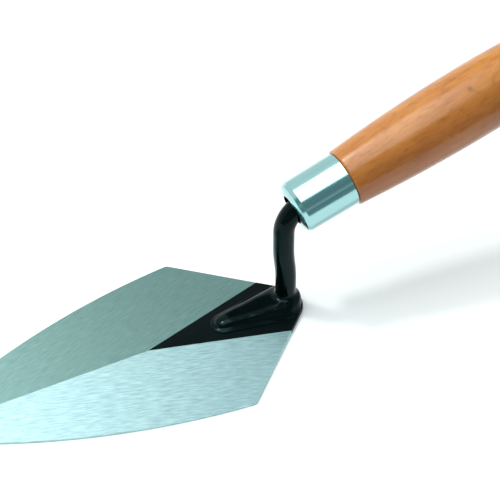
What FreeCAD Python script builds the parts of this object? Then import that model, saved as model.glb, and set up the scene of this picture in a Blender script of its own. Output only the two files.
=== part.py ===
import os
import re

import FreeCAD
import Part
import Sketcher

# A pointing and brick trowel of the London pattern. Millimetres, +Z up.
# The blade lies flat on its underside at z = 0, symmetric about the XZ plane. The origin is under the
# blade's ridge, level with its two widest corners; the handle points to +X and the tip to -X.

SIZES = {
    # Blade: a flat underside, and a top ground to a ridge that falls from heel to tip.
    "blade_length": 180.0,
    "blade_width": 90.0,
    "corner_setback": 48.7,
    "side_bulge": 8.1,
    "corner_radius": 2.0,
    "tip_radius": 2.5,
    "ridge_thickness": 2.4,
    "edge_thickness": 1.2,
    "edge_break": 0.2,
    # Foot of the tang: a tongue on the ridge, round at both ends, wide and high under the post.
    # It sets the rounding of the blade's heel, which stands out from it by the margin.
    "heel_margin": 0.3,
    "foot_shelf": 0.75,
    "foot_length": 41.0,
    "foot_nose_radius": 5.0,
    "foot_top_inset": 3.0,
    "foot_rear_slant": 0.3,
    "foot_nose_slant": 1.6,
    "foot_nose_height": 2.8,
    "foot_height": 5.2,
    "foot_edge_radius": 1.2,
    # Post of the tang: upright, a slight step forward in it, then the bend back along the handle.
    "post_diameter": 8.9,
    "post_land": 0.1,
    "post_step_height": 15.0,
    "post_step_length": 20.0,
    "post_step": 1.3,
    "bend_radius": 12.5,
    "post_root_radius": 0.8,
    "neck_straight": 0.5,
    "spike_length": 66.0,
    "spike_end_diameter": 4.6,
    # Weld round the sides and nose of the foot.
    "weld_leg": 0.9,
    # Handle line: the centre of the ferrule's front rim, and the slope behind it.
    "ferrule_setback": 7.1,
    "ferrule_height": 53.5,
    "handle_angle": 17.9,
    # Ferrule: a drawn cup with a round shoulder, a low domed front and a hole for the tang.
    "ferrule_length": 22.0,
    "ferrule_front_diameter": 22.6,
    "ferrule_rear_diameter": 23.2,
    "ferrule_wall": 0.8,
    "dome_lip_height": 2.75,
    "dome_bulge": 0.1,
    "shoulder_depth": 1.8,
    "shoulder_width": 0.9,
    "shoulder_round": 0.7,
    "rim_radius": 0.3,
    "tang_clearance": 0.1,
    # Handle: turned wood with a spigot in the ferrule.
    "handle_length": 104.0,
    "handle_front_diameter": 24.9,
    "swell_diameter": 30.6,
    "swell_position": 66.0,
    "butt_diameter": 27.6,
    "butt_dome": 3.0,
    "butt_edge_radius": 7.0,
    "shoulder_radius": 0.7,
    "seam_gap": 0.45,
    "spigot_clearance": 0.05,
    "spigot_gap": 0.4,
    "spike_clearance": 0.1,
}

# Two places closer than this, in millimetres, are the same place.
SAME = 0.01

doc = FreeCAD.newDocument("brick_trowel")
sheet = doc.addObject("Spreadsheet::Sheet", "Sizes")
for row, (alias, number) in enumerate(SIZES.items(), start=1):
    sheet.set(f"A{row}", alias.replace("_", " "))
    sheet.set(f"B{row}", str(number))
    sheet.setAlias(f"B{row}", alias)
doc.recompute()

# Places that follow from the sizes, written as expressions on the sheet.
HEEL_X = "corner_setback"
TIP_X = "(corner_setback - blade_length)"
FOOT_TOP_RADIUS = "(post_diameter / 2 + post_root_radius + foot_shelf + foot_edge_radius)"
FOOT_RADIUS = f"({FOOT_TOP_RADIUS} + foot_top_inset)"
HEEL_RADIUS = f"({FOOT_RADIUS} + heel_margin)"
HALF_HEEL = "atan(blade_width / 2 / corner_setback)"
HEEL_CENTRE = f"(corner_setback - {HEEL_RADIUS} / sin({HALF_HEEL}))"
NOSE_CENTRE = f"({HEEL_CENTRE} + {FOOT_RADIUS} - foot_length + foot_nose_radius)"
RIDGE_FALL = "((ridge_thickness - edge_thickness) / blade_length)"
SIDE_FALL = f"((ridge_thickness - edge_thickness - corner_setback * {RIDGE_FALL}) / blade_width * 2)"
FOOT_REAR = f"({HEEL_CENTRE} + {FOOT_RADIUS} - foot_rear_slant - foot_edge_radius)"
POST_X = f"({FOOT_REAR} - post_root_radius - post_land - post_diameter / 2)"
FERRULE_X = "(corner_setback - ferrule_setback)"
BEND_CORNER = f"(({FERRULE_X} - {POST_X} + post_step) / cos(handle_angle))"
BEND_REACH = "(bend_radius * tan((90 - handle_angle) / 2))"
NECK_DEPTH = f"({BEND_REACH} - {BEND_CORNER} + neck_straight)"
BEND_END_X = f"({FERRULE_X} + {NECK_DEPTH} * cos(handle_angle))"
BEND_END_Z = f"(ferrule_height + {NECK_DEPTH} * sin(handle_angle))"
HOLE_DEPTH = f"(dome_lip_height + {NECK_DEPTH} - neck_straight)"
HOLE_RADIUS = (
    f"(bend_radius - sqrt((bend_radius - post_diameter / 2)^2 - {HOLE_DEPTH}^2) + tang_clearance)"
)
FRONT_RADIUS = "(ferrule_front_diameter / 2)"
REAR_RADIUS = "(ferrule_rear_diameter / 2)"


def bound(text):
    """The expression with every size named as a cell of the sheet."""
    return re.sub(r"\b(" + "|".join(SIZES) + r")\b", r"Sizes.\1", str(text))


def value(text):
    """The number that an expression gives now."""
    result = sheet.evalExpression(bound(text))
    return float(getattr(result, "Value", result))


def bind(item, path, text):
    item.setExpression(path, bound(text))


def new_body(label):
    body = doc.addObject("PartDesign::Body", label)
    body.Label = label
    return body


def new_sketch(body, name, role, offset="0"):
    """A sketch on one of the body's own origin planes, moved along that plane's normal."""
    sketch = body.newObject("Sketcher::SketchObject", name)
    plane = next(item for item in body.Origin.OriginFeatures if item.Role == role)
    sketch.AttachmentSupport = [(plane, "")]
    sketch.MapMode = "FlatFace"
    bind(sketch, "AttachmentOffset.Base.z", offset)
    return sketch


def dimension(sketch, text, kind, *places):
    """A constraint whose number is an expression on the sheet."""
    number = value(text)
    if kind == "Angle":
        number = FreeCAD.Units.Quantity(f"{number} deg")
    index = sketch.addConstraint(Sketcher.Constraint(kind, *places, number))
    bind(sketch, f"Constraints[{index}]", text)


def pin(sketch, edge, end, x, y):
    """Holds one end of an edge at a place in the sketch."""
    dimension(sketch, x, "DistanceX", -1, 1, edge, end)
    dimension(sketch, y, "DistanceY", -1, 1, edge, end)


def arc_through(start, finish, radius, side):
    """The shorter arc between two points that bulges to one side of its chord: +1 left, -1 right."""
    chord = finish - start
    left = FreeCAD.Vector(-chord.y, chord.x, 0).normalize()
    height = radius - (radius**2 - chord.Length**2 / 4) ** 0.5
    return Part.Arc(start, (start + finish) / 2 + left * side * height, finish)


def near_end(sketch, edge, point):
    """Which end of an edge is at a point: 1 for its start, 2 for its finish."""
    return 1 if sketch.getPoint(edge, 1).distanceToPoint(point) < SAME else 2


def outline(sketch, corners, arcs=None):
    """A closed outline through pinned corners. arcs gives, by edge number, a radius and its side."""
    arcs = arcs or {}
    points = [FreeCAD.Vector(value(x), value(y), 0) for x, y in corners]
    after = points[1:] + points[:1]
    for edge, (start, finish) in enumerate(zip(points, after)):
        if edge in arcs:
            radius, side = arcs[edge]
            sketch.addGeometry(arc_through(start, finish, value(radius), side), False)
        else:
            sketch.addGeometry(Part.LineSegment(start, finish), False)
    for edge, start in enumerate(points):
        before = (edge - 1) % len(points)
        here = near_end(sketch, edge, start)
        ends = (before, near_end(sketch, before, start), edge, here)
        sketch.addConstraint(Sketcher.Constraint("Coincident", *ends))
        pin(sketch, edge, here, *corners[edge])
    for edge, (radius, side) in arcs.items():
        dimension(sketch, radius, "Radius", edge)


def tapered_slot(sketch, rear_x, rear_radius, nose_x, nose_radius):
    """Two round ends of different size on the X axis, joined by their common tangents."""
    ends = ((rear_x, rear_radius), (nose_x, nose_radius))
    rear, nose = [(FreeCAD.Vector(value(x), 0, 0), value(radius)) for x, radius in ends]
    lean = (rear[1] - nose[1]) / (rear[0] - nose[0]).Length
    across = FreeCAD.Vector(-lean, (1 - lean**2) ** 0.5, 0)
    below = FreeCAD.Vector(across.x, -across.y, 0)
    for centre, radius in (rear, nose):
        back = FreeCAD.Vector(radius if centre == rear[0] else -radius, 0, 0)
        arc = Part.Arc(centre + below * radius, centre + back, centre + across * radius)
        sketch.addGeometry(arc, False)
    for side in (across, below):
        sketch.addGeometry(Part.LineSegment(rear[0] + side * rear[1], nose[0] + side * nose[1]), False)
    for edge, (x, radius) in enumerate(ends):
        sketch.addConstraint(Sketcher.Constraint("PointOnObject", edge, 3, -1))
        dimension(sketch, x, "DistanceX", -1, 1, edge, 3)
        dimension(sketch, radius, "Radius", edge)
    for line, side in ((2, across), (3, below)):
        for edge, (centre, radius) in enumerate((rear, nose)):
            end = near_end(sketch, edge, centre + side * radius)
            sketch.addConstraint(Sketcher.Constraint("Tangent", edge, end, line, edge + 1))


def loft(body, kind, name, sketches):
    feature = body.newObject("PartDesign::" + kind, name)
    feature.Profile = sketches[0]
    feature.Sections = sketches[1:]
    feature.Ruled = True
    return feature


def revolve(body, name, sketch, axis):
    feature = body.newObject("PartDesign::Revolution", name)
    feature.Profile = sketch
    feature.ReferenceAxis = (sketch, [axis])
    feature.Angle = 360
    return feature


def round_edges(body, name, radius, wanted):
    """Rounds the edges of the body so far for which wanted(edge) holds."""
    doc.recompute()
    base = body.Tip
    names = [f"Edge{i}" for i, edge in enumerate(base.Shape.Edges, start=1) if wanted(edge)]
    if not names:
        raise RuntimeError(f"{name} finds no edge")
    feature = body.newObject("PartDesign::Fillet", name)
    feature.Base = (base, names)
    bind(feature, "Radius", radius)
    return feature


def upright_at(edge, x, y):
    """Whether an edge stands upright at a place in plan."""
    return all(abs(v.X - value(x)) < SAME and abs(v.Y - value(y)) < SAME for v in edge.Vertexes)


def roof_sections(body, outer_edge):
    """Sections of the ridged top at heel and tip, closed along a level above or below the blade."""
    sections = []
    ends = (("HeelSection", HEEL_X, "ridge_thickness"), ("TipSection", TIP_X, "edge_thickness"))
    for name, place, ridge in ends:
        sketch = new_sketch(body, name, "YZ_Plane", place)
        eaves = f"({ridge} - blade_width * {SIDE_FALL})"
        corners = [
            ("0", ridge),
            ("blade_width", eaves),
            ("blade_width", outer_edge),
            ("-blade_width", outer_edge),
            ("-blade_width", eaves),
        ]
        outline(sketch, corners)
        sections.append(sketch)
    return sections


def make_blade():
    """A plate with straight back edges, bowed side edges and a rounded heel."""
    body = new_body("blade")
    plan = new_sketch(body, "Plan", "XY_Plane")
    side_radius = bulge_radius("(blade_length - corner_setback)", "(blade_width / 2)", "side_bulge")
    corners = [(HEEL_X, "0"), ("0", "blade_width / 2"), (TIP_X, "0"), ("0", "-blade_width / 2")]
    outline(plan, corners, {1: (side_radius, -1), 2: (side_radius, -1)})
    plate = body.newObject("PartDesign::Pad", "Plate")
    plate.Profile = plan
    bind(plate, "Length", "ridge_thickness")
    round_edges(body, "HeelRound", HEEL_RADIUS, lambda edge: upright_at(edge, HEEL_X, "0"))
    round_edges(body, "TipRound", "tip_radius", lambda edge: upright_at(edge, TIP_X, "0"))
    for name, half in (("LeftCorner", "blade_width / 2"), ("RightCorner", "-blade_width / 2")):
        round_edges(body, name, "corner_radius", lambda edge: upright_at(edge, "0", half))
    doc.recompute()
    loft(body, "SubtractiveLoft", "GroundTop", roof_sections(body, "ridge_thickness * 2"))
    doc.recompute()
    round_edges(body, "EdgeBreak", "edge_break", lambda edge: edge.BoundBox.ZMax < SAME)
    return body


def foot_loft(body, kind):
    """The foot's block: a tapered slot in plan that narrows upward."""
    base = new_sketch(body, kind + "Base", "XY_Plane", "edge_thickness")
    tapered_slot(base, HEEL_CENTRE, FOOT_RADIUS, NOSE_CENTRE, "foot_nose_radius")
    top = new_sketch(body, kind + "Top", "XY_Plane", "ridge_thickness + foot_height")
    rear_x = f"({HEEL_CENTRE} + foot_top_inset - foot_rear_slant)"
    nose_x = f"({NOSE_CENTRE} - foot_top_inset + foot_nose_slant)"
    tapered_slot(top, rear_x, FOOT_TOP_RADIUS, nose_x, "(foot_nose_radius - foot_top_inset)")
    return loft(body, kind, kind + "Foot", [base, top])


def slope_foot(body):
    """Cuts the top of the foot along a line that falls from the post to the nose."""
    side = new_sketch(body, "FootSlope", "XZ_Plane")
    nose_x = f"({NOSE_CENTRE} - foot_nose_radius)"
    corners = [
        (POST_X, "ridge_thickness + foot_height"),
        (nose_x, "ridge_thickness + foot_nose_height"),
        (nose_x, "ridge_thickness + foot_height * 2"),
        (POST_X, "ridge_thickness + foot_height * 2"),
    ]
    outline(side, corners)
    cut = body.newObject("PartDesign::Pocket", "SlopedTop")
    cut.Profile = side
    cut.Type = "ThroughAll"
    cut.SideType = "Symmetric"


def on_foot_top(edge):
    """Whether an edge runs round the top of the foot, clear of the step between slope and level."""
    post_x = value(POST_X)
    level = value("ridge_thickness + foot_height")
    nose_x = value(f"({NOSE_CENTRE} - foot_nose_radius)")
    fall = value("foot_height - foot_nose_height") / (post_x - nose_x)
    ends = [v.Point for v in edge.Vertexes]
    if len(ends) == 2 and all(abs(p.x - post_x) < SAME for p in ends):
        return False
    return all(abs(p.z - level + fall * max(0, post_x - p.x)) < SAME for p in ends)


def post_route(body):
    """The post's centre line: upright, a small step forward, upright again, then the bend."""
    route = new_sketch(body, "PostRoute", "XZ_Plane")
    rise = FreeCAD.Vector(0, 1, 0)
    step_radius = "((post_step_length^2 + post_step^2) / (4 * post_step))"
    foot = FreeCAD.Vector(value(POST_X), value("edge_thickness"), 0)
    step_start = FreeCAD.Vector(foot.x, value("post_step_height"), 0)
    step_end = step_start + FreeCAD.Vector(-value("post_step"), value("post_step_length"), 0)
    step_middle = (step_start + step_end) / 2
    goal = FreeCAD.Vector(value(BEND_END_X), value(BEND_END_Z), 0)
    along = FreeCAD.Vector(value("cos(handle_angle)"), value("sin(handle_angle)"), 0)
    corner = crossing(step_end, rise, goal, along)
    reach = value(BEND_REACH)
    bend_start = corner - rise * reach
    bend_end = corner + along * reach
    bend_side = (corner - bend_start - FreeCAD.Vector(value("bend_radius"), 0, 0)).normalize()
    bend_middle = bend_start + FreeCAD.Vector(value("bend_radius"), 0, 0) + bend_side * value("bend_radius")
    route.addGeometry(Part.LineSegment(foot, step_start), False)
    route.addGeometry(arc_through(step_start, step_middle, value(step_radius), -1), False)
    route.addGeometry(arc_through(step_middle, step_end, value(step_radius), 1), False)
    route.addGeometry(Part.LineSegment(step_end, bend_start), False)
    route.addGeometry(Part.Arc(bend_start, bend_middle, bend_end), False)
    route.addGeometry(Part.LineSegment(bend_end, goal), False)
    joints = (step_start, step_middle, step_end, bend_start, bend_end)
    for edge, joint in enumerate(joints):
        ends = (edge, near_end(route, edge, joint), edge + 1, near_end(route, edge + 1, joint))
        route.addConstraint(Sketcher.Constraint("Tangent", *ends))
    pin(route, 0, 1, POST_X, "edge_thickness")
    route.addConstraint(Sketcher.Constraint("Vertical", 0))
    dimension(route, "post_step_height", "DistanceY", -1, 1, 0, 2)
    dimension(route, step_radius, "Radius", 1)
    route.addConstraint(Sketcher.Constraint("Equal", 1, 2))
    route.addConstraint(Sketcher.Constraint("Vertical", 3))
    dimension(route, f"({POST_X} - post_step)", "DistanceX", -1, 1, 3, 1)
    dimension(route, "bend_radius", "Radius", 4)
    dimension(route, "handle_angle", "Angle", 5)
    pin(route, 5, 2, BEND_END_X, BEND_END_Z)
    return route


def crossing(first, first_way, second, second_way):
    """Where two lines in a plane meet, each given by a point and a direction."""
    gap = second - first
    turn = first_way.x * second_way.y - first_way.y * second_way.x
    return first + first_way * ((gap.x * second_way.y - gap.y * second_way.x) / turn)


def circle_at(sketch, x, radius):
    """A circle with its centre on the X axis."""
    circle = Part.Circle(FreeCAD.Vector(value(x), 0, 0), FreeCAD.Vector(0, 0, 1), value(radius))
    sketch.addGeometry(circle, False)
    sketch.addConstraint(Sketcher.Constraint("PointOnObject", 0, 3, -1))
    dimension(sketch, x, "DistanceX", -1, 1, 0, 3)
    dimension(sketch, radius, "Radius", 0)


def post_root(edge):
    """Whether an edge is the ring where the post leaves the top of the foot."""
    post_x = value(POST_X)
    level = value("ridge_thickness + foot_height")
    radius = value("post_diameter / 2")
    points = [edge.valueAt(at) for at in (edge.FirstParameter, edge.LastParameter)]
    points.append(edge.valueAt((edge.FirstParameter + edge.LastParameter) / 2))
    on_post = all(abs(((p.x - post_x) ** 2 + p.y**2) ** 0.5 - radius) < SAME for p in points)
    fall_across = value("post_diameter * (foot_height - foot_nose_height) / foot_length")
    return on_post and all(abs(p.z - level) < fall_across for p in points)


def make_tang():
    """The forged neck: foot, post and bend in one bar, and the spike that holds the handle."""
    body = new_body("tang")
    foot_loft(body, "AdditiveLoft")
    slope_foot(body)
    round_edges(body, "FootEdges", "foot_edge_radius", on_foot_top)
    section = new_sketch(body, "PostSection", "XY_Plane", "edge_thickness")
    circle_at(section, POST_X, "post_diameter / 2")
    route = post_route(body)
    doc.recompute()
    pipe = body.newObject("PartDesign::AdditivePipe", "Post")
    pipe.Profile = section
    pipe.Spine = route
    spike = new_sketch(body, "SpikeSection", "XZ_Plane")
    spike_profile(spike)
    doc.recompute()
    revolve(body, "Spike", spike, "Axis0")
    doc.recompute()
    loft(body, "SubtractiveLoft", "RidgeSeat", roof_sections(body, "-edge_thickness"))
    round_edges(body, "PostRoot", "post_root_radius", post_root)
    return body


def spike_profile(sketch):
    """Half of the tapering spike, drawn on the handle line from the end of the bend."""
    along = ("cos(handle_angle)", "sin(handle_angle)")
    across = ("-sin(handle_angle)", "cos(handle_angle)")
    end = "spike_length"
    start = NECK_DEPTH
    steps = ((start, "0"), (end, "0"), (end, "spike_end_diameter / 2"), (start, "post_diameter / 2"))
    corners = []
    for reach, radius in steps:
        x = f"({FERRULE_X} + {reach} * {along[0]} + {radius} * {across[0]})"
        z = f"(ferrule_height + {reach} * {along[1]} + {radius} * {across[1]})"
        corners.append((x, z))
    outline(sketch, corners)
    axis_ends = [FreeCAD.Vector(value(x), value(z), 0) for x, z in corners[:2]]
    axis = sketch.addGeometry(Part.LineSegment(*axis_ends), True)
    sketch.addConstraint(Sketcher.Constraint("Coincident", axis, 1, 0, 1))
    sketch.addConstraint(Sketcher.Constraint("Coincident", axis, 2, 0, 2))


def make_weld():
    """The fillet of weld round the nose of the foot and along its sides, as far as the back edges."""
    body = new_body("weld_bead")
    base = new_sketch(body, "BeadBase", "XY_Plane", "edge_thickness")
    lift = "(ridge_thickness - edge_thickness)"
    tapered_slot(base, HEEL_CENTRE, f"({FOOT_RADIUS} + weld_leg + {lift})", NOSE_CENTRE,
                 f"(foot_nose_radius + weld_leg + {lift})")
    top = new_sketch(body, "BeadTop", "XY_Plane", "ridge_thickness + weld_leg")
    tapered_slot(top, HEEL_CENTRE, FOOT_RADIUS, NOSE_CENTRE, "foot_nose_radius")
    loft(body, "AdditiveLoft", "Bead", [base, top])
    foot_loft(body, "SubtractiveLoft")
    loft(body, "SubtractiveLoft", "RidgeSeat", roof_sections(body, "-edge_thickness"))
    open_rear = new_sketch(body, "OpenRear", "XY_Plane")
    tangent_x = f"({HEEL_CENTRE} + {HEEL_RADIUS} * sin({HALF_HEEL}))"
    tangent_y = f"({HEEL_RADIUS} * cos({HALF_HEEL}))"
    corners = [
        ("0", "blade_width / 2"),
        (tangent_x, tangent_y),
        (tangent_x, f"-{tangent_y}"),
        ("0", "-blade_width / 2"),
        ("blade_width", "-blade_width"),
        ("blade_width", "blade_width"),
    ]
    outline(open_rear, corners)
    cut = body.newObject("PartDesign::Pocket", "RearCut")
    cut.Profile = open_rear
    cut.Type = "ThroughAll"
    cut.SideType = "Symmetric"
    return body


def stand_on_handle_line(body):
    """Places a piece drawn along its own Z axis on the handle line, its zero at the ferrule's rim."""
    lean = "90 - handle_angle"
    body.Placement.Rotation = FreeCAD.Rotation(FreeCAD.Vector(0, 1, 0), value(lean))
    bind(body, "Placement.Rotation.Angle", lean)
    bind(body, "Placement.Base.x", FERRULE_X)
    bind(body, "Placement.Base.z", "ferrule_height")


def cap_radius(rim, height):
    """The radius of a ball that caps a rim to a height."""
    return f"(({rim}^2 + {height}^2) / (2 * {height}))"


def bulge_radius(run, rise, bulge):
    """The radius of an arc that stands out from its chord by a bulge."""
    return f"((({run}^2 + {rise}^2) / 4 + {bulge}^2) / (2 * {bulge}))"


def make_ferrule():
    """A drawn cup: a low domed front, a shoulder round it, and a wall that widens to the rear."""
    body = new_body("ferrule")
    section = new_sketch(body, "Section", "XZ_Plane")
    shoulder = f"({FRONT_RADIUS} - shoulder_width)"
    inner_rim = f"({FRONT_RADIUS} - ferrule_wall)"
    inner_shoulder = f"({inner_rim} - shoulder_width)"
    inner_lip = "(dome_lip_height - ferrule_wall)"
    inner_depth = "(shoulder_depth - ferrule_wall)"
    corners = [
        (HOLE_RADIUS, "-dome_lip_height"),
        (shoulder, "-shoulder_depth"),
        (FRONT_RADIUS, "0"),
        (REAR_RADIUS, "ferrule_length"),
        (f"({REAR_RADIUS} - ferrule_wall)", "ferrule_length"),
        (inner_rim, "0"),
        (inner_shoulder, f"-{inner_depth}"),
        (HOLE_RADIUS, f"-{inner_lip}"),
    ]
    outer_rise = "(dome_lip_height - shoulder_depth)"
    outer_arc = bulge_radius(f"({shoulder} - {HOLE_RADIUS})", outer_rise, "dome_bulge")
    inner_arc = bulge_radius(f"({inner_shoulder} - {HOLE_RADIUS})", outer_rise, "dome_bulge")
    outline(section, corners, {0: (outer_arc, -1), 6: (inner_arc, 1)})
    revolve(body, "Cup", section, "V_Axis")
    rim = value(FRONT_RADIUS), 0
    fold = value(shoulder), -value("shoulder_depth")
    round_edges(body, "Rim", "rim_radius", lambda edge: on_ring(edge, *rim))
    round_edges(body, "Shoulder", "shoulder_round", lambda edge: on_ring(edge, *fold))
    stand_on_handle_line(body)
    return body


def on_ring(edge, radius, level):
    """Whether an edge is a ring of a given radius and height about the Z axis."""
    if edge.Degenerated or not isinstance(edge.Curve, Part.Circle):
        return False
    return abs(edge.Curve.Radius - radius) < SAME and abs(edge.Curve.Center.z - level) < SAME


def make_handle():
    """Turned wood: a spigot in the ferrule, a proud shoulder, a long swell and a rounded butt."""
    body = new_body("handle")
    section = new_sketch(body, "Section", "XZ_Plane")
    shoulder = "(ferrule_length + seam_gap)"
    spigot_front = f"({FRONT_RADIUS} - ferrule_wall - spigot_clearance)"
    spigot_rear = f"({REAR_RADIUS} - ferrule_wall - spigot_clearance)"
    front = "(handle_front_diameter / 2)"
    swell = "(swell_diameter / 2)"
    butt = "(butt_diameter / 2)"
    swell_z = f"({shoulder} + swell_position)"
    butt_z = f"({shoulder} + handle_length - butt_dome)"
    end_z = f"({shoulder} + handle_length)"
    front_z = f"max({NECK_DEPTH} + spigot_gap; spigot_gap)"
    bore_front = "(post_diameter / 2 + spike_clearance)"
    bore_end = "(spike_end_diameter / 2 + spike_clearance)"
    bore_depth = "(spike_length + spike_clearance)"
    corners = [
        (bore_front, front_z),
        (spigot_front, front_z),
        (spigot_rear, shoulder),
        (front, shoulder),
        (swell, swell_z),
        (butt, butt_z),
        ("0", end_z),
        ("0", bore_depth),
        (bore_end, bore_depth),
    ]
    front_rise = f"({swell} - {front})"
    rear_fall = f"({swell} - {butt})"
    rear_run = f"({butt_z} - {swell_z})"
    arcs = {
        3: (cap_radius("swell_position", front_rise), -1),
        4: (cap_radius(rear_run, rear_fall), -1),
        5: (cap_radius(butt, "butt_dome"), -1),
    }
    outline(section, corners, arcs)
    revolve(body, "Turning", section, "V_Axis")
    shoulder_ring = value(front), value(shoulder)
    butt_ring = value(butt), value(butt_z)
    round_edges(body, "Shoulder", "shoulder_radius", lambda edge: on_ring(edge, *shoulder_ring))
    round_edges(body, "Butt", "butt_edge_radius", lambda edge: on_ring(edge, *butt_ring))
    stand_on_handle_line(body)
    return body


pieces = [make_blade(), make_tang(), make_weld(), make_ferrule(), make_handle()]
doc.recompute()

for item in doc.Objects:
    if "Invalid" in item.State or "Error" in item.State:
        raise RuntimeError(f"{item.Name} is {item.State}")
os.makedirs("parts", exist_ok=True)
for piece in pieces:
    shape = piece.Shape
    if shape.isNull() or not shape.isValid():
        raise RuntimeError(f"{piece.Label} has no valid shape")
    print(f"{piece.Label}: {len(shape.Solids)} solid, {shape.Volume:.0f} cubic millimetres")
    shape.exportStep(f"parts/{piece.Label}.step")
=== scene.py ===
import math

import bmesh
import bpy
from mathutils import Matrix, Vector, noise


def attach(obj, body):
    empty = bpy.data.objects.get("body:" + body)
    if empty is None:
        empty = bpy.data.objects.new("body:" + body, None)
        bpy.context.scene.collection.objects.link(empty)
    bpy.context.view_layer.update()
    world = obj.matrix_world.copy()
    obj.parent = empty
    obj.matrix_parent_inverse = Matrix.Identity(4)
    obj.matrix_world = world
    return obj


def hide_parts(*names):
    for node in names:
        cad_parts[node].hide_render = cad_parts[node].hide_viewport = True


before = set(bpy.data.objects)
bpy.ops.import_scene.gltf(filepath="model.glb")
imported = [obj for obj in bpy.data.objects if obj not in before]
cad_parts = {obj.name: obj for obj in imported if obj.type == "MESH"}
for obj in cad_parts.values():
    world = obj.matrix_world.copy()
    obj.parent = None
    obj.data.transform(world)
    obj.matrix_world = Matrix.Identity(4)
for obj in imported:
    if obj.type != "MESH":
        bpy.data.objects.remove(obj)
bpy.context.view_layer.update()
MM = 0.001

# The handle is set on a line that rises towards the butt, from the middle of the ferrule's front rim.
HANDLE_TILT = math.radians(17.9)
FERRULE_FRONT = Vector((41.6, 0, 53.5)) * MM

# The pin knot in the wood: its place, its dark core and where it fades out. The side that gets painted
# shade, the lower front side, is a direction across the handle.
PIN_KNOT = Vector((115.4, -6.4, 91.7)) * MM
KNOT_CORE = 0.5 * MM
KNOT_EDGE = 1.6 * MM
SHADED_SIDE = (0, -0.75, -0.66)

# The lacquered patch is a dart with its point on the blade's ridge and its tails on the back edges.
PATCH_POINT = Vector((-27.6, 0, 0)) * MM
PATCH_TAIL = Vector((30.7, 16.5, 0)) * MM
LACQUER_FILM = 0.06 * MM

# Points of a mesh that lie closer than this are one point. A cut takes in points as close as its slack.
SAME_POINT = 0.001 * MM
CUT_SLACK = 0.0001 * MM
# A face whose normal points further down than this belongs to the underside.
FACING_DOWN = -0.5

# The tang is a forging: its foot is hammered round between the blade's top and the post's root.
FORGING_GRAIN = 0.35 * MM
FOOT_BASE = 2.6 * MM
FOOT_ROUND = 3.8 * MM
FOOT_CROWN = 8.6 * MM
POST_ROOT = 11.0 * MM
FOOT_NOSE = 2.4 * MM
FOOT_HALF_WIDTH = 8.0 * MM
# The nose is drawn down over its last stretch. The top is crowned, and falls more on the far side.
NOSE_REACH = 7.0 * MM
NOSE_DRAW = 1.3 * MM
NEAR_FALL = 0.5 * MM
FAR_FALL = 1.4 * MM
# The size of a hammer mark, and how deep it goes.
BLOW = Vector((9, 4, 4)) * MM
BLOW_DEPTH = 0.12 * MM
# The rounding: how hard each pass pulls a point towards its neighbours, and how many passes there are.
ROUNDING_PULL = 0.5
ROUNDING_PASSES = 90

# Each half of the blade is ground along its own front edge.
GRIND_ANGLE = math.radians(17.5)
# Below this height the blade's skin is its underside and the broken lower edge.
UNDERSIDE = 0.25 * MM

# The studio, in metres and watts.
LENS_LENGTH = 86.4
SENSOR_WIDTH = 36
NEAREST_SEEN = 0.01
CAMERA_PLACE = (-0.14187, -0.32749, 0.36338)
CAMERA_LOOK = Vector((0.33074, 0.67015, -0.66446))
CAMERA_UP = Vector((0.30059, 0.59261, 0.74730))
FLOOR_LEFT, FLOOR_RIGHT = -1.4, 1.4
FLOOR_NEAR, FLOOR_FAR = -0.3, 1.6
FLOOR_LEVEL = -0.02 * MM
SOFTBOX_WIDTH = 1.95
SOFTBOX_DEPTH = 2.5
SOFTBOX_POWER = 44
SOFTBOX_PLACE = (-0.82, -0.25, 2.23)
BULB_WIDTH = 0.36
BULB_POWER = 17
BULB_PLACE = (-0.74, 0.77, 2.2)
# Light that comes from the room, as linear levels of red, green and blue.
DIM_ROOM = (0.18, 0.28, 0.30, 1)
PALE_STRIP = (0.40, 0.50, 0.52, 1)
PALE_WALL = (0.92, 0.97, 0.97, 1)
DARK_DOORWAY = (0.06, 0.10, 0.11, 1)
PALE_SCREEN = (0.74, 0.80, 0.80, 1)
WHITE = (1, 1, 1, 1)


def linear(colour):
    """Turns an sRGB hex colour into the linear values that a shader takes."""
    made = []
    for start in (1, 3, 5):
        part = int(colour[start:start + 2], 16) / 255
        made.append(part / 12.92 if part <= 0.04045 else ((part + 0.055) / 1.055) ** 2.4)
    return (*made, 1.0)


def add(tree, kind, settings=None, inputs=None):
    """Adds a node, gives it its settings, and fills its inputs with values or with other nodes' outputs."""
    made = tree.nodes.new("ShaderNode" + kind)
    for name, value in (settings or {}).items():
        setattr(made, name, value)
    for name, value in (inputs or {}).items():
        if isinstance(value, bpy.types.NodeSocket):
            tree.links.new(value, made.inputs[name])
        else:
            made.inputs[name].default_value = value
    return made


def new_material(name):
    """An empty material, its tree and its points in the object's own frame."""
    made = bpy.data.materials.new(name)
    made.use_nodes = True
    made.node_tree.nodes.clear()
    place = add(made.node_tree, "TexCoord").outputs["Object"]
    return made, made.node_tree, place


def show(tree, surface):
    add(tree, "OutputMaterial", inputs={"Surface": surface.outputs[0]})


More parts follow.
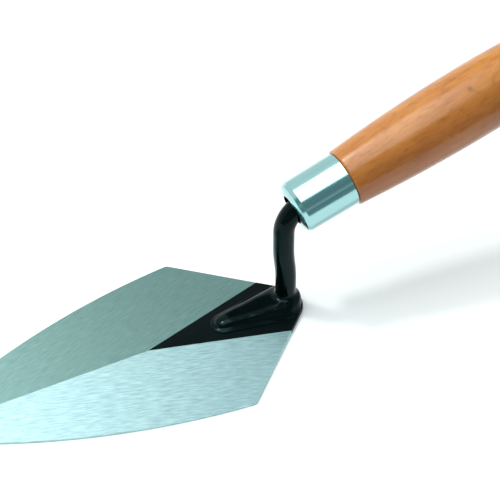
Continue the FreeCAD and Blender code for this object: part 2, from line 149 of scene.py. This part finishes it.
def ground_steel():
    """Carbon steel sheet, ground bright on a belt. Fine scratches run along each half's front edge, so
    that a lamp smears out across them and the two halves catch it differently. The flat underside is
    ground in one pass, straight from heel to tip."""
    made, tree, place = new_material("ground_carbon_steel")
    axes = add(tree, "SeparateXYZ", inputs={0: place}).outputs
    far_half = add(tree, "Math", {"operation": "GREATER_THAN"}, {0: axes["Y"], 1: 0.0}).outputs[0]
    under = add(tree, "Math", {"operation": "LESS_THAN"}, {0: axes["Z"], 1: UNDERSIDE}).outputs[0]
    half = add(tree, "Mix", {"data_type": "FLOAT"}, {0: under, 2: far_half, 3: 0.5}).outputs[0]
    out_from_ridge = add(tree, "Math", {"operation": "ABSOLUTE"}, {0: axes["Y"]}).outputs[0]
    folded = add(tree, "CombineXYZ", inputs={
        "X": axes["X"], "Y": out_from_ridge, "Z": far_half}).outputs[0]

    def along_grind(length, width):
        halves = add(tree, "Mapping", {"vector_type": "TEXTURE"}, {
            "Vector": folded, "Rotation": (0, 0, GRIND_ANGLE), "Scale": (length, width, 1)}).outputs[0]
        straight = add(tree, "Mapping", {"vector_type": "TEXTURE"}, {
            "Vector": place, "Scale": (length, width, 1)}).outputs[0]
        return add(tree, "Mix", {"data_type": "VECTOR"}, {0: under, 4: halves, 5: straight}).outputs[1]

    # A scratch is about 6 mm long. Its width is drawn at 0.7 mm so that it shows.
    scratches = add(tree, "TexNoise", inputs={
        "Vector": along_grind(6 * MM, 0.7 * MM), "Scale": 1.0, "Detail": 3.0, "Roughness": 0.6})
    contrast = add(tree, "MapRange", inputs={0: scratches.outputs[0], 1: 0.3, 2: 0.7}).outputs[0]
    # Broad passes of the belt, 60 mm long and 5 mm wide.
    passes = add(tree, "TexNoise", inputs={
        "Vector": along_grind(60 * MM, 5 * MM), "Scale": 1.0, "Detail": 1.0})

    # The two halves are one steel given two colour ranges, each tuned to how that half shows under the
    # lamps: painted light on the near half and painted shade on the far half.
    near_half_painted_light = add(tree, "Mix", {"data_type": "RGBA"}, {
        0: contrast, 6: linear("#98BBBF"), 7: linear("#BEE1E3")}).outputs[2]
    far_half_painted_shade = add(tree, "Mix", {"data_type": "RGBA"}, {
        0: contrast, 6: linear("#9CC6C1"), 7: linear("#B4DED8")}).outputs[2]
    colour = add(tree, "Mix", {"data_type": "RGBA"}, {0: half, 6: near_half_painted_light, 7: far_half_painted_shade}).outputs[2]
    belt = add(tree, "MapRange", inputs={0: passes.outputs[0], 3: 0.40, 4: 0.50}).outputs[0]
    gloss = add(tree, "MapRange", inputs={0: half, 3: belt, 4: 0.38}).outputs[0]
    relief = add(tree, "Bump", inputs={
        "Strength": 0.25, "Distance": 0.02 * MM, "Height": scratches.outputs[0]})

    across = math.cos(GRIND_ANGLE)
    skew = math.sin(GRIND_ANGLE)
    lean = add(tree, "MapRange", inputs={0: half, 3: skew, 4: -skew}).outputs[0]
    smear = add(tree, "CombineXYZ", inputs={"X": lean, "Y": across, "Z": 0.0}).outputs[0]
    surface = add(tree, "BsdfPrincipled", inputs={
        "Base Color": colour, "Metallic": 1.0, "Roughness": gloss, "Anisotropic": 0.85,
        "Tangent": smear, "Normal": relief.outputs[0]})
    show(tree, surface)
    return made


def black_lacquer(name, smooth, rough, shine):
    """Black stoving lacquer. It lies thick and glossy on the forged tang, where lamps show as sharp
    small glints, and thin over the blade's grinding marks, where it is only satin."""
    made, tree, place = new_material(name)
    # Orange peel has bumps about 2.5 mm across.
    peel = add(tree, "TexNoise", inputs={"Vector": place, "Scale": 1 / (2.5 * MM), "Detail": 1.0})
    relief = add(tree, "Bump", inputs={"Strength": 0.15, "Distance": 0.05 * MM, "Height": peel.outputs[0]})
    patches = add(tree, "TexNoise", inputs={"Vector": place, "Scale": 1 / (9 * MM), "Detail": 2.0})
    colour = add(tree, "Mix", {"data_type": "RGBA"}, {
        0: patches.outputs[0], 6: linear("#010404"), 7: linear("#040A0A")}).outputs[2]
    gloss = add(tree, "MapRange", inputs={0: patches.outputs[0], 3: smooth, 4: rough}).outputs[0]
    surface = add(tree, "BsdfPrincipled", inputs={
        "Base Color": colour, "Roughness": gloss, "IOR": 1.45, "Specular IOR Level": shine,
        "Specular Tint": linear("#A4D8DC"), "Normal": relief.outputs[0]})
    show(tree, surface)
    return made


def bright_chrome():
    """Chromium plate on a drawn steel tube: a mirror, with the faintest lengthwise waves from drawing."""
    made, tree, place = new_material("chromium_plate")
    in_handle = add(tree, "Mapping", {"vector_type": "TEXTURE"}, {
        "Vector": place, "Location": FERRULE_FRONT, "Rotation": (0, -HANDLE_TILT, 0),
        "Scale": (12 * MM, 1.2 * MM, 1.2 * MM)}).outputs[0]
    draw_marks = add(tree, "TexNoise", inputs={"Vector": in_handle, "Scale": 1.0, "Detail": 2.0})
    relief = add(tree, "Bump", inputs={
        "Strength": 0.12, "Distance": 0.01 * MM, "Height": draw_marks.outputs[0]})
    colour = add(tree, "Mix", {"data_type": "RGBA"}, {
        0: draw_marks.outputs[0], 6: linear("#9AC4C4"), 7: linear("#A8D2D2")}).outputs[2]
    gloss = add(tree, "MapRange", inputs={0: draw_marks.outputs[0], 3: 0.12, 4: 0.20}).outputs[0]
    surface = add(tree, "BsdfPrincipled", inputs={
        "Base Color": colour, "Metallic": 1.0, "Roughness": gloss, "Normal": relief.outputs[0]})
    show(tree, surface)
    return made


def varnished_beech():
    """Turned beech, stained orange-brown under clear varnish: soft lengthwise grain, faint short flecks
    and one pin knot, under a smooth gloss that blurs the lamp into a pale streak."""
    made, tree, place = new_material("varnished_turned_beech")

    def along_handle(length, width):
        return add(tree, "Mapping", {"vector_type": "TEXTURE"}, {
            "Vector": place, "Location": FERRULE_FRONT, "Rotation": (0, -HANDLE_TILT, 0),
            "Scale": (length * MM, width * MM, width * MM)}).outputs[0]

    mottle = add(tree, "TexNoise", inputs={
        "Vector": along_handle(28, 7), "Scale": 1.0, "Detail": 3.0, "Roughness": 0.55, "Distortion": 0.4})
    fibre = add(tree, "TexNoise", inputs={
        "Vector": along_handle(7, 0.6), "Scale": 1.0, "Detail": 3.0, "Roughness": 0.6})
    fleck = add(tree, "TexNoise", inputs={
        "Vector": along_handle(4.5, 1.6), "Scale": 1.0, "Detail": 2.0})

    warm = add(tree, "Mix", {"data_type": "RGBA"}, {
        0: add(tree, "MapRange", inputs={0: mottle.outputs[0], 1: 0.32, 2: 0.68}).outputs[0],
        6: linear("#B06C28"), 7: linear("#C8863C")}).outputs[2]
    # Painted shade: the lower front side of the handle is darkened, with a mottled edge.
    toward_shaded_side = add(tree, "VectorMath", {"operation": "DOT_PRODUCT"}, {
        0: along_handle(1, 1), 1: SHADED_SIDE}).outputs["Value"]
    drift = add(tree, "Math", {"operation": "MULTIPLY_ADD"}, {
        0: mottle.outputs[0], 1: 9.0, 2: toward_shaded_side}).outputs[0]
    painted_shade_mask = add(tree, "MapRange", {"interpolation_type": "SMOOTHSTEP"}, {
        0: drift, 1: -2.0, 2: 13.0}).outputs[0]
    painted_shade = add(tree, "Mix", {"data_type": "RGBA", "blend_type": "MULTIPLY"}, {
        0: painted_shade_mask, 6: warm, 7: linear("#DCC4A0")}).outputs[2]
    lined = add(tree, "Mix", {"data_type": "RGBA", "blend_type": "MULTIPLY"}, {
        0: add(tree, "MapRange", inputs={0: fibre.outputs[0], 1: 0.45, 2: 0.75, 4: 0.3}).outputs[0],
        6: painted_shade, 7: linear("#C88A58")}).outputs[2]
    flecked = add(tree, "Mix", {"data_type": "RGBA", "blend_type": "MULTIPLY"}, {
        0: add(tree, "MapRange", inputs={0: fleck.outputs[0], 1: 0.50, 2: 0.80, 4: 0.4}).outputs[0],
        6: lined, 7: linear("#B07840")}).outputs[2]
    from_knot = add(tree, "VectorMath", {"operation": "DISTANCE"}, {
        0: place, 1: PIN_KNOT}).outputs["Value"]
    knot = add(tree, "MapRange", inputs={
        0: from_knot, 1: KNOT_CORE, 2: KNOT_EDGE, 3: 0.75, 4: 0.0}).outputs[0]
    colour = add(tree, "Mix", {"data_type": "RGBA"}, {
        0: knot, 6: flecked, 7: linear("#7C4A2C")}).outputs[2]
    relief = add(tree, "Bump", inputs={"Strength": 0.2, "Distance": 0.03 * MM, "Height": fibre.outputs[0]})
    surface = add(tree, "BsdfPrincipled", inputs={
        "Base Color": colour, "Roughness": 0.6, "Specular IOR Level": 0.1, "Normal": relief.outputs[0],
        "Coat Weight": 1.0, "Coat Roughness": 0.2, "Coat IOR": 1.5})
    show(tree, surface)
    return made


def wear(node, material):
    """Gives every material slot of a CAD node the same finish."""
    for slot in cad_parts[node].material_slots:
        slot.material = material


def coat(piece, material):
    """Gives a piece made here one finish all over."""
    piece.data.materials.clear()
    piece.data.materials.append(material)


def lacquer_patch():
    """The film of lacquer on the blade round the foot of the tang, cut from the blade's own skin."""
    skin = bmesh.new()
    skin.from_mesh(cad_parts["blade"].data)
    bmesh.ops.remove_doubles(skin, verts=skin.verts, dist=SAME_POINT)
    for side in (1, -1):
        tail = Vector((PATCH_TAIL.x, side * PATCH_TAIL.y, 0))
        edge = (tail - PATCH_POINT).normalized()
        outward = Vector((-edge.y, edge.x, 0)) * side
        bmesh.ops.bisect_plane(
            skin, geom=skin.verts[:] + skin.edges[:] + skin.faces[:], dist=CUT_SLACK,
            plane_co=PATCH_POINT, plane_no=outward, clear_outer=True)
    skin.normal_update()
    under = [face for face in skin.faces if face.normal.z < FACING_DOWN]
    bmesh.ops.delete(skin, geom=under, context="FACES")
    mesh = bpy.data.meshes.new("lacquer_patch")
    skin.to_mesh(mesh)
    skin.free()
    made = bpy.data.objects.new("lacquer_patch", mesh)
    bpy.context.scene.collection.objects.link(made)
    film = made.modifiers.new("film", "SOLIDIFY")
    film.thickness = LACQUER_FILM
    film.offset = 1.0
    return made


def applied(thing, kind, settings):
    """Runs one modifier on an object and keeps its result as the object's mesh."""
    modifier = thing.modifiers.new(kind.lower(), kind)
    for name, value in settings.items():
        setattr(modifier, name, value)
    depsgraph = bpy.context.evaluated_depsgraph_get()
    result = bpy.data.meshes.new_from_object(thing.evaluated_get(depsgraph))
    result.name = thing.name
    thing.data = result
    thing.modifiers.clear()


def forging_reach(height):
    """How far the hammering reaches at a height: fully on the foot, not at all at the weld's toe or
    on the post."""
    up = (height - FOOT_BASE) / (FOOT_ROUND - FOOT_BASE)
    down = (POST_ROOT - height) / (POST_ROOT - FOOT_CROWN)
    return max(0.0, min(1.0, up, down))


def forged_tang():
    """The tang and its weld as one forging: the foot's arrises are hammered round, its nose is drawn
    down, its sides are a little uneven, and it flows into the post and the weld."""
    mould = bmesh.new()
    for node in ("tang", "weld_bead"):
        mould.from_mesh(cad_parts[node].data)
    bmesh.ops.remove_doubles(mould, verts=mould.verts, dist=SAME_POINT)
    mesh = bpy.data.meshes.new("forged_tang")
    mould.to_mesh(mesh)
    mould.free()
    made = bpy.data.objects.new("forged_tang", mesh)
    bpy.context.scene.collection.objects.link(made)
    applied(made, "REMESH", {"mode": "VOXEL", "voxel_size": FORGING_GRAIN})

    hammered = made.vertex_groups.new(name="hammered")
    for vertex in made.data.vertices:
        weight = forging_reach(vertex.co.z)
        if weight > 0:
            hammered.add([vertex.index], weight, "REPLACE")
    applied(made, "SMOOTH", {
        "vertex_group": "hammered", "factor": ROUNDING_PULL, "iterations": ROUNDING_PASSES})

    skin = bmesh.new()
    skin.from_mesh(made.data)
    skin.normal_update()
    for vertex in skin.verts:
        spot = vertex.co.copy()
        weight = forging_reach(spot.z)
        lump = noise.noise(Vector((spot.x / BLOW.x, spot.y / BLOW.y, spot.z / BLOW.z)))
        to_nose = 1 - (spot.x - FOOT_NOSE) / NOSE_REACH
        drawn = NOSE_DRAW * max(0.0, min(1.0, to_nose)) ** 2
        crown = (spot.y / FOOT_HALF_WIDTH) ** 2 * (FAR_FALL if spot.y > 0 else NEAR_FALL)
        vertex.co = spot + vertex.normal * lump * weight * BLOW_DEPTH
        vertex.co.z -= weight * (drawn + crown) * max(0.0, vertex.normal.z)
    for face in skin.faces:
        face.smooth = True
    skin.to_mesh(made.data)
    skin.free()
    return made


def aim_camera():
    """The camera looks down along the blade from its near side, with the handle going away to the right."""
    lens = bpy.data.cameras.new("camera")
    lens.lens = LENS_LENGTH
    lens.sensor_width = SENSOR_WIDTH
    lens.clip_start = NEAREST_SEEN
    look = CAMERA_LOOK.normalized()
    right = look.cross(CAMERA_UP).normalized()
    turn = Matrix((right, right.cross(look), -look)).transposed().to_4x4()
    made = bpy.data.objects.new("camera", lens)
    made.matrix_world = Matrix.Translation(CAMERA_PLACE) @ turn
    bpy.context.scene.collection.objects.link(made)
    bpy.context.scene.camera = made


def lay_floor():
    """A sheet of white board on the table. It ends short of the camera, where the room is dark."""
    mesh = bpy.data.meshes.new("floor")
    corners = [(FLOOR_LEFT, FLOOR_NEAR, FLOOR_LEVEL), (FLOOR_RIGHT, FLOOR_NEAR, FLOOR_LEVEL),
               (FLOOR_RIGHT, FLOOR_FAR, FLOOR_LEVEL), (FLOOR_LEFT, FLOOR_FAR, FLOOR_LEVEL)]
    mesh.from_pydata(corners, [], [(0, 1, 2, 3)])
    made = bpy.data.objects.new("floor", mesh)
    bpy.context.scene.collection.objects.link(made)
    board, tree, place = new_material("white_board")
    tooth = add(tree, "TexNoise", inputs={"Vector": place, "Scale": 1 / (1.5 * MM), "Detail": 2.0})
    colour = add(tree, "Mix", {"data_type": "RGBA"}, {
        0: tooth.outputs[0], 6: linear("#F2F4F4"), 7: linear("#F5F6F6")}).outputs[2]
    show(tree, add(tree, "BsdfPrincipled", inputs={
        "Base Color": colour, "Roughness": 0.9, "Specular IOR Level": 0.1}))
    mesh.materials.append(board)


def light_studio():
    """A wide soft lamp overhead and a small bright one further back. Round them are a pale wall behind
    the trowel with a dark doorway in it, a pale screen at the right, and on the camera's side a dim room
    with one paler strip."""
    lamp = bpy.data.lights.new("overhead_softbox", "AREA")
    lamp.shape = "RECTANGLE"
    lamp.size = SOFTBOX_WIDTH
    lamp.size_y = SOFTBOX_DEPTH
    lamp.energy = SOFTBOX_POWER
    made = bpy.data.objects.new("overhead_softbox", lamp)
    made.location = SOFTBOX_PLACE
    made.visible_camera = False
    bpy.context.scene.collection.objects.link(made)

    spot = bpy.data.lights.new("bare_bulb", "AREA")
    spot.shape = "DISK"
    spot.size = BULB_WIDTH
    spot.energy = BULB_POWER
    bulb = bpy.data.objects.new("bare_bulb", spot)
    bulb.location = BULB_PLACE
    bulb.rotation_euler = (Vector() - bulb.location).to_track_quat("-Z", "Y").to_euler()
    bulb.visible_camera = False
    bpy.context.scene.collection.objects.link(bulb)

    world = bpy.data.worlds.new("studio")
    bpy.context.scene.world = world
    world.use_nodes = True
    tree = world.node_tree
    tree.nodes.clear()
    toward = add(tree, "TexCoord").outputs["Generated"]
    axes = add(tree, "SeparateXYZ", inputs={0: toward}).outputs

    def step(axis, start, end, low=0.0, high=1.0):
        return add(tree, "MapRange", {"interpolation_type": "SMOOTHSTEP"}, {
            0: axes[axis], 1: start, 2: end, 3: low, 4: high}).outputs[0]

    def both(one, other):
        return add(tree, "Math", {"operation": "MULTIPLY"}, {0: one, 1: other}).outputs[0]

    strip = both(step("Z", 0.14, 0.24), step("Z", 0.28, 0.38, 1.0, 0.0))
    room = add(tree, "Mix", {"data_type": "RGBA"}, {
        0: strip, 6: DIM_ROOM, 7: PALE_STRIP}).outputs[2]
    doorway = both(both(step("X", 0.11, 0.18), step("Z", 0.40, 0.52)), step("Z", 0.90, 0.78))
    wall = add(tree, "Mix", {"data_type": "RGBA"}, {
        0: doorway, 6: PALE_WALL, 7: DARK_DOORWAY}).outputs[2]
    sides = add(tree, "Mix", {"data_type": "RGBA"}, {0: step("Y", -0.2, 0.15), 6: room, 7: wall}).outputs[2]
    around = add(tree, "Mix", {"data_type": "RGBA"}, {
        0: step("X", 0.40, 0.56), 6: sides, 7: PALE_SCREEN}).outputs[2]
    seen = add(tree, "LightPath").outputs["Is Camera Ray"]
    glow = add(tree, "Mix", {"data_type": "RGBA"}, {0: seen, 6: around, 7: WHITE}).outputs[2]
    back = add(tree, "Background", inputs={"Color": glow, "Strength": 1.0})
    add(tree, "OutputWorld", inputs={"Surface": back.outputs[0]})
    bpy.context.scene.view_settings.view_transform = "Standard"


aim_camera()
lay_floor()
light_studio()

wear("blade", ground_steel())
wear("ferrule", bright_chrome())
wear("handle", varnished_beech())

patch = lacquer_patch()
coat(patch, black_lacquer("thin_black_lacquer", smooth=0.34, rough=0.42, shine=0.18))
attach(patch, "root")

tang = forged_tang()
coat(tang, black_lacquer("stoved_black_lacquer", smooth=0.10, rough=0.18, shine=0.22))
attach(tang, "root")
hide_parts("tang", "weld_bead")
